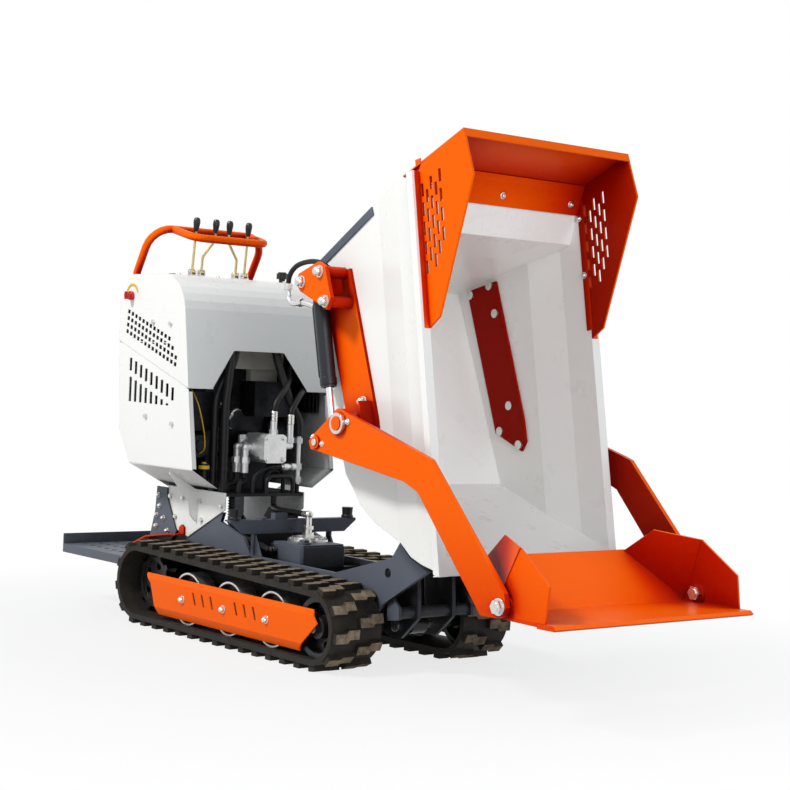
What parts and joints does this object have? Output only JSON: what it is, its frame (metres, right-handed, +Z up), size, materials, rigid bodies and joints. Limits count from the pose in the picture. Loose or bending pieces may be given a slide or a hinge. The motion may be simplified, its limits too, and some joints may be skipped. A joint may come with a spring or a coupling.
{
  "type": "tracked power carrier",
  "caption": "Tracked mini dumper with a cowled engine, control levers and handlebar, a high tipping skip with spill guard, and a self-loading shovel on lift arms",
  "frame": {"origin": "on the ground, midway between the drive and idler axles and on the centre plane", "axes": "+X forward to the shovel, +Y to the left, +Z up"},
  "size_m": [2.652, 0.805, 1.5217],
  "materials": {
    "slate_paint": "satin",
    "bright_steel": "zinc plated",
    "track_rubber": "matte, dusty lugs",
    "black_steel": "semi-gloss",
    "roller_steel": "worn rim",
    "orange_paint": "semi-gloss powder coat",
    "black_rubber": "matte",
    "cream_paint": "gloss powder coat",
    "engine_iron": "satin black",
    "white_plastic": "translucent",
    "pump_aluminium": "cast and machined",
    "yellow_zinc": "yellow zinc",
    "black_plastic": "satin",
    "red_plastic": "gloss",
    "chrome_rod": "polished"
  },
  "bodies": {
    "base": {"chassis_frame": "slate_paint", "pivot_pins": "bright_steel", "track_frames": "slate_paint", "track_left": "track_rubber", "track_right": "track_rubber", "drive_motors": "black_steel", "track_guards": "orange_paint", "hydraulic_tank": "slate_paint", "tank_cover": "bright_steel", "rest_rail": "slate_paint", "rest_buffers": "black_rubber", "cowl_base": "cream_paint", "lower_cowl": "cream_paint", "upper_cowl": "cream_paint", "frame_bolts": "bright_steel", "engine": "engine_iron", "fuel_tank": "white_plastic", "hydraulic_pump": "pump_aluminium", "hoses": "black_rubber", "lever_forks": "bright_steel", "lever_boots": "black_rubber", "handlebar": "orange_paint", "step_platform": "slate_paint", "step_brackets": "slate_paint", "fenders": "orange_paint"},
    "skip": {"skip_body": "cream_paint", "skip_underframe": "slate_paint", "spill_guard": "orange_paint", "loader_brackets": "orange_paint", "bracket_bolts": "bright_steel"},
    "loader": {"loader_arm_left": "orange_paint", "loader_arm_right": "orange_paint", "shovel_pins": "bright_steel"},
    "shovel": {"shovel": "orange_paint"},
    "tip_barrel": {"tip_barrel": "black_steel"},
    "tip_rod": {"tip_rod": "chrome_rod"},
    "throttle": {"throttle_knob": "red_plastic"},
    "latch": {"latch_knob": "black_plastic"},
    "loader_barrel_left": {"loader_barrel_left": "black_steel"},
    "loader_rod_left": {"loader_rod_left": "chrome_rod"},
    "sprocket_left": {"sprocket_left": "black_steel"},
    "idler_left": {"idler_left": "black_steel"},
    "roller_left_1": {"roller_left_1": "roller_steel"},
    "roller_left_2": {"roller_left_2": "roller_steel"},
    "roller_left_3": {"roller_left_3": "roller_steel"},
    "loader_barrel_right": {"loader_barrel_right": "black_steel"},
    "loader_rod_right": {"loader_rod_right": "chrome_rod"},
    "sprocket_right": {"sprocket_right": "black_steel"},
    "idler_right": {"idler_right": "black_steel"},
    "roller_right_1": {"roller_right_1": "roller_steel"},
    "roller_right_2": {"roller_right_2": "roller_steel"},
    "roller_right_3": {"roller_right_3": "roller_steel"},
    "lever_1": {"lever_rod_1": "yellow_zinc", "lever_knob_1": "black_plastic"},
    "lever_2": {"lever_rod_2": "yellow_zinc", "lever_knob_2": "black_plastic"},
    "lever_3": {"lever_rod_3": "yellow_zinc", "lever_knob_3": "black_plastic"},
    "lever_4": {"lever_rod_4": "yellow_zinc", "lever_knob_4": "black_plastic"}
  },
  "joints": [
    {"name": "skip_tip", "type": "hinge", "parent": "base", "child": "skip", "pos_m": [0.615, 0, 0.392], "axis": [0, 1, 0], "range_deg": [-68, 0]},
    {"name": "loader_lift", "type": "hinge", "parent": "skip", "child": "loader", "pos_m": [0.66, 0, 0.7215], "axis": [0, -1, 0], "range_deg": [0, 50]},
    {"name": "shovel_tilt", "type": "hinge", "parent": "loader", "child": "shovel", "pos_m": [1.345, 0, 0.3], "axis": [0, 1, 0], "range_deg": [0, 60]},
    {"name": "lift_barrel_left", "type": "hinge", "parent": "skip", "child": "loader_barrel_left", "pos_m": [0.45009, 0.318, 1.11917], "axis": [0, -1, 0], "range_deg": [0, 6.6]},
    {"name": "lift_rod_left", "type": "hinge", "parent": "loader", "child": "loader_rod_left", "pos_m": [0.555, 0.318, 0.6633], "axis": [0, -1, 0], "range_deg": [-43.6, 0]},
    {"name": "lift_barrel_right", "type": "hinge", "parent": "skip", "child": "loader_barrel_right", "pos_m": [0.45009, -0.318, 1.11917], "axis": [0, -1, 0], "range_deg": [0, 6.6]},
    {"name": "lift_rod_right", "type": "hinge", "parent": "loader", "child": "loader_rod_right", "pos_m": [0.555, -0.318, 0.6633], "axis": [0, -1, 0], "range_deg": [-43.6, 0]},
    {"name": "tip_barrel_swing", "type": "hinge", "parent": "base", "child": "tip_barrel", "pos_m": [0.568, 0, 0.126], "axis": [0, 1, 0], "range_deg": [-34, 0]},
    {"name": "tip_rod_swing", "type": "hinge", "parent": "skip", "child": "tip_rod", "pos_m": [0.51386, 0, 0.64234], "axis": [0, 1, 0], "range_deg": [0, 34]},
    {"name": "sprocket_turn_left", "type": "hinge", "parent": "base", "child": "sprocket_left", "pos_m": [-0.484, 0.249, 0.138], "axis": [0, 1, 0], "continuous": true},
    {"name": "idler_turn_left", "type": "hinge", "parent": "base", "child": "idler_left", "pos_m": [0.5, 0.264, 0.124], "axis": [0, 1, 0], "continuous": true},
    {"name": "roller_turn_left_1", "type": "hinge", "parent": "base", "child": "roller_left_1", "pos_m": [-0.197, 0.2805, 0.1174], "axis": [0, 1, 0], "continuous": true},
    {"name": "roller_turn_left_2", "type": "hinge", "parent": "base", "child": "roller_left_2", "pos_m": [0.039, 0.2805, 0.1174], "axis": [0, 1, 0], "continuous": true},
    {"name": "roller_turn_left_3", "type": "hinge", "parent": "base", "child": "roller_left_3", "pos_m": [0.2725, 0.2805, 0.1174], "axis": [0, 1, 0], "continuous": true},
    {"name": "sprocket_turn_right", "type": "hinge", "parent": "base", "child": "sprocket_right", "pos_m": [-0.484, -0.249, 0.138], "axis": [0, 1, 0], "continuous": true},
    {"name": "idler_turn_right", "type": "hinge", "parent": "base", "child": "idler_right", "pos_m": [0.5, -0.264, 0.124], "axis": [0, 1, 0], "continuous": true},
    {"name": "roller_turn_right_1", "type": "hinge", "parent": "base", "child": "roller_right_1", "pos_m": [-0.197, -0.2805, 0.1174], "axis": [0, 1, 0], "continuous": true},
    {"name": "roller_turn_right_2", "type": "hinge", "parent": "base", "child": "roller_right_2", "pos_m": [0.039, -0.2805, 0.1174], "axis": [0, 1, 0], "continuous": true},
    {"name": "roller_turn_right_3", "type": "hinge", "parent": "base", "child": "roller_right_3", "pos_m": [0.2725, -0.2805, 0.1174], "axis": [0, 1, 0], "continuous": true},
    {"name": "lever_swing_1", "type": "hinge", "parent": "base", "child": "lever_1", "pos_m": [-0.578, -0.107, 1.186], "axis": [0, 1, 0], "range_deg": [-15, 15], "stiffness_Nm_per_rad": 4},
    {"name": "lever_swing_2", "type": "hinge", "parent": "base", "child": "lever_2", "pos_m": [-0.578, -0.07, 1.186], "axis": [0, 1, 0], "range_deg": [-15, 15], "stiffness_Nm_per_rad": 4},
    {"name": "lever_swing_3", "type": "hinge", "parent": "base", "child": "lever_3", "pos_m": [-0.578, 0.07, 1.186], "axis": [0, 1, 0], "range_deg": [-15, 15], "stiffness_Nm_per_rad": 4},
    {"name": "lever_swing_4", "type": "hinge", "parent": "base", "child": "lever_4", "pos_m": [-0.578, 0.107, 1.186], "axis": [0, 1, 0], "range_deg": [-15, 15], "stiffness_Nm_per_rad": 4},
    {"name": "throttle_turn", "type": "hinge", "parent": "base", "child": "throttle", "pos_m": [-0.668, -0.295, 1.094], "axis": [0, -1, 0], "range_deg": [0, 120]},
    {"name": "latch_turn", "type": "hinge", "parent": "base", "child": "latch", "pos_m": [-0.52, 0.23, 1.19], "axis": [0, 0, 1], "range_deg": [0, 180]}
  ],
  "couplings": [
    {"joint": "lift_barrel_left", "follows": "loader_lift", "ratio": 0.13},
    {"joint": "lift_rod_left", "follows": "loader_lift", "ratio": -0.87},
    {"joint": "lift_barrel_right", "follows": "loader_lift", "ratio": 0.13},
    {"joint": "lift_rod_right", "follows": "loader_lift", "ratio": -0.87},
    {"joint": "tip_barrel_swing", "follows": "skip_tip", "ratio": 0.5},
    {"joint": "tip_rod_swing", "follows": "skip_tip", "ratio": -0.5},
    {"joint": "idler_turn_left", "follows": "sprocket_turn_left", "ratio": 1.1538},
    {"joint": "roller_turn_left_1", "follows": "sprocket_turn_left", "ratio": 1.25},
    {"joint": "roller_turn_left_2", "follows": "sprocket_turn_left", "ratio": 1.25},
    {"joint": "roller_turn_left_3", "follows": "sprocket_turn_left", "ratio": 1.25},
    {"joint": "idler_turn_right", "follows": "sprocket_turn_right", "ratio": 1.1538},
    {"joint": "roller_turn_right_1", "follows": "sprocket_turn_right", "ratio": 1.25},
    {"joint": "roller_turn_right_2", "follows": "sprocket_turn_right", "ratio": 1.25},
    {"joint": "roller_turn_right_3", "follows": "sprocket_turn_right", "ratio": 1.25}
  ]
}
